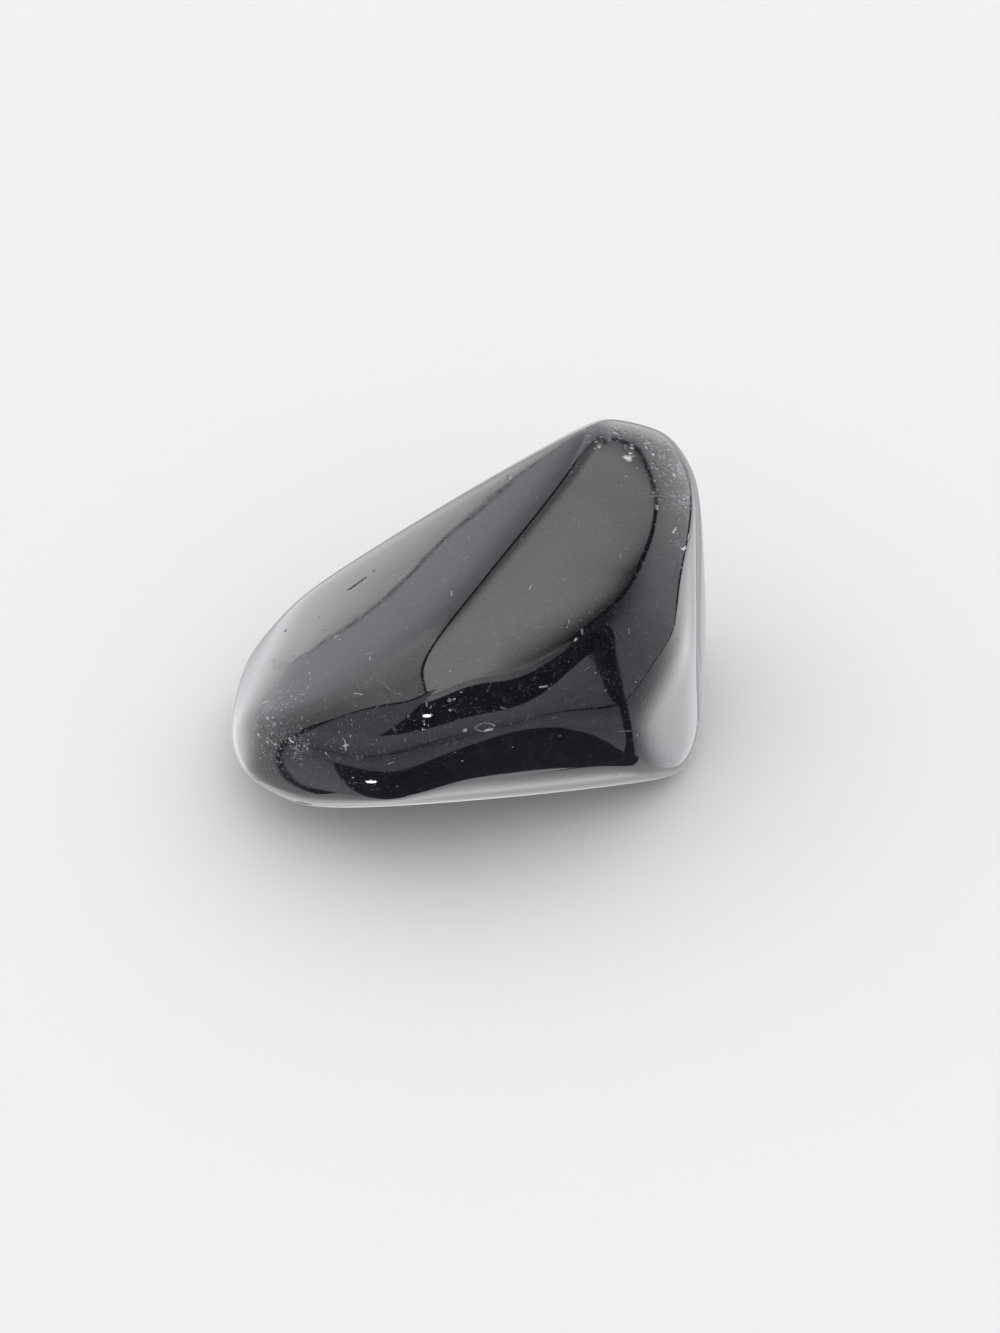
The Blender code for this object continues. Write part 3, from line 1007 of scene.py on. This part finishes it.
def lower_back_glow(x, y, z):
    lit = np.interp(-z, (0.0, 150.0, 300.0, TENT_TOP), (2.7, 2.2, 1.5, 1.2))
    return lit * (1.0 - 0.6 * smooth(x, -150.0, 60.0) + 0.25 * smooth(x, 100.0, 220.0))


def lower_card_glow(x, y, z):
    return np.interp(-z, (0.0, 25.0, 45.0, 65.0, 90.0), (0.7, 0.85, 0.95, 0.95, 0.75))


def lower_left_flap():
    """Covers the left corner, with a wavy right edge."""
    along, up = sheet_shares()
    z = between(-92.0, -TENT_TOP, up)
    left = CARD_LEFT - 54.0 * up
    right = np.interp(-z, (92.0, 135.0, 204.0, 259.0, 292.0, 331.0, TENT_TOP),
                      (-138.0, -145.0, -161.0, -173.0, -170.0, -156.0, -138.0))
    sheet("lower_left_flap", between(left, right, along), TENT_FRONT, z, even(1.0), FRONT_CLOTH)


def lower_right_flap():
    """Stands on the low card's right end and narrows to a point."""
    along, up = sheet_shares()
    z = between(-82.0, -345.0, up)
    left = np.interp(-z, (82.0, 113.0, 173.0, 258.0, 345.0), (148.0, 154.0, 160.0, 183.0, 230.0))
    right = np.interp(-z, (82.0, 214.0, 345.0), (257.0, 240.0, 232.0))
    sheet("lower_right_flap", between(left, right, along), TENT_FRONT, z, even(0.85), FRONT_CLOTH)


def lower_valance():
    """Hangs from the lower ceiling's front edge, with a wavy hem."""
    along, up = sheet_shares()
    x = between(-10.0, 183.0, along)
    hem = np.interp(x, (-10.0, 15.0, 40.0, 70.0, 105.0, 120.0, 140.0, 152.0, 169.0, 183.0),
                    (-438.0, -375.0, -345.0, -325.0, -330.0, -343.0, -363.0, -376.0, -406.0, -438.0))
    sheet("lower_valance", x, TENT_FRONT, between(2.0 - TENT_TOP, hem, up), even(2.2), TENT_CLOTH)


def lower_ceiling_start(x):
    """The near edge, with the hollows where the dark room shows."""
    return np.interp(x, (-150.0, -118.0, -55.0, -16.0, 5.0, 183.0, 192.0, 223.0),
                     (TENT_FRONT, -112.0, -72.0, -96.0, TENT_FRONT, TENT_FRONT, -94.0, -66.0))


def lower_left_bend(up):
    """Where the lower left wall's near part ends, along a slanting seam."""
    return 417.0 + 0.38 * np.maximum(0.0, up * TENT_TOP - 38.0)


def lower_right_start(up):
    return np.interp(up, (0.0, 0.12, 0.46, 1.0), (-117.0, -118.0, -120.0, -98.0))


def lower_walls():
    table, low = even(0.0), even(-TENT_TOP)
    side_sheet("lower_left_wall", TENT_LEFT, even(-98.0), lower_left_bend, table, low, lower_left_glow)
    side_sheet("lower_left_back", TENT_LEFT, lambda up: lower_left_bend(up) + 0.4, even(BACK_LEFT),
               table, low, lower_left_glow)
    side_sheet("lower_right_wall", TENT_RIGHT, lower_right_start, even(BACK_RIGHT),
               lambda y: -right_wall_foot(y), low, lower_right_glow, TENT_CLOTH)
    back_wall("lower_back_wall", 0.0, -TENT_TOP, lower_back_glow)


def lower_tent():
    """The tent's image in the table, as far as the stone shows it."""
    ceiling("lower_ceiling", -TENT_TOP, 0.0, 0.0, 0.0, lower_ceiling_glow, lower_ceiling_start)
    lower_walls()
    card = [(CARD_LEFT, -0.5), (CARD_RIGHT + 4.0, -0.5), (257.0, -82.0), (CARD_LEFT, -92.0)]
    front_sheet("lower_card", card, lower_card_glow)
    lower_left_flap()
    lower_right_flap()
    lower_valance()
    low = -2.0 * TENT_TOP
    dark = [(-330.0, -0.5), (450.0, -0.5), (450.0, low), (-330.0, low)]
    front_sheet("lower_dark", dark, even(0.12), DARK_ROOM, TENT_FRONT - 4.0)


def lamp(name, centre, wide, tall):
    """A small lamp out in front of the tent: its centre and the two half axes of its disc, as x and z."""
    centre, wide, tall = np.array(centre), np.array(wide), np.array(tall)
    corners = [centre + a * wide + b * tall for a, b in ((-1, -1), (1, -1), (1, 1), (-1, 1))]

    def glow(x, y, z):
        arms = np.linalg.solve(np.stack([wide, tall], axis=1), np.stack([x, z]) - centre[:, None])
        return LAMP_GLOW * (1.0 - smooth(np.hypot(*arms), 0.7, 0.95))

    front_sheet(name, corners, glow, y=TENT_FRONT - 1.0)


upper_tent()
lower_tent()
lamp("lamp", (-97.0, 165.0), (18.0, -6.0), (-5.0, 9.5))
lamp("lower_lamp", (-88.0, -157.0), (16.0, 15.0), (1.0, 5.5))

# -------------------- The floor and the studio
PALE = (0.88, 0.88, 0.88, 1.0)
WHITE = (1.0, 1.0, 1.0, 1.0)
OUTSIDE_GLOW = (0.08, 0.10, 0.165, 1.0)
FLOOR_HALF = 3.0  # metres


def make_floor():
    material = bpy.data.materials.new("floor")
    material.use_nodes = True
    shader = material.node_tree.nodes["Principled BSDF"]
    shader.inputs["Base Color"].default_value = PALE
    shader.inputs["Roughness"].default_value = 1.0
    mesh = bpy.data.meshes.new("floor")
    corners = [(x * FLOOR_HALF, y * FLOOR_HALF, 0.0) for x, y in ((-1, -1), (1, -1), (1, 1), (-1, 1))]
    mesh.from_pydata(corners, [], [(0, 1, 2, 3)])
    mesh.materials.append(material)
    floor = add_object("floor", mesh)
    floor.visible_glossy = False


def make_world():
    """Pale to the camera, white to matt surfaces, and the dim room to the polish."""
    world = bpy.data.worlds.new("studio")
    bpy.context.scene.world = world
    world.use_nodes = True
    tree = world.node_tree
    tree.nodes.clear()
    ray = tree.nodes.new("ShaderNodeLightPath")
    colour = blend_colours(tree, ray.outputs["Is Camera Ray"], WHITE, PALE)
    colour = blend_colours(tree, ray.outputs["Is Glossy Ray"], colour, OUTSIDE_GLOW)
    back = node(tree, "ShaderNodeBackground", Color=colour)
    node(tree, "ShaderNodeOutputWorld", Surface=back.outputs["Background"])


make_camera()
make_floor()
make_world()
bpy.context.scene.view_settings.view_transform = "Standard"
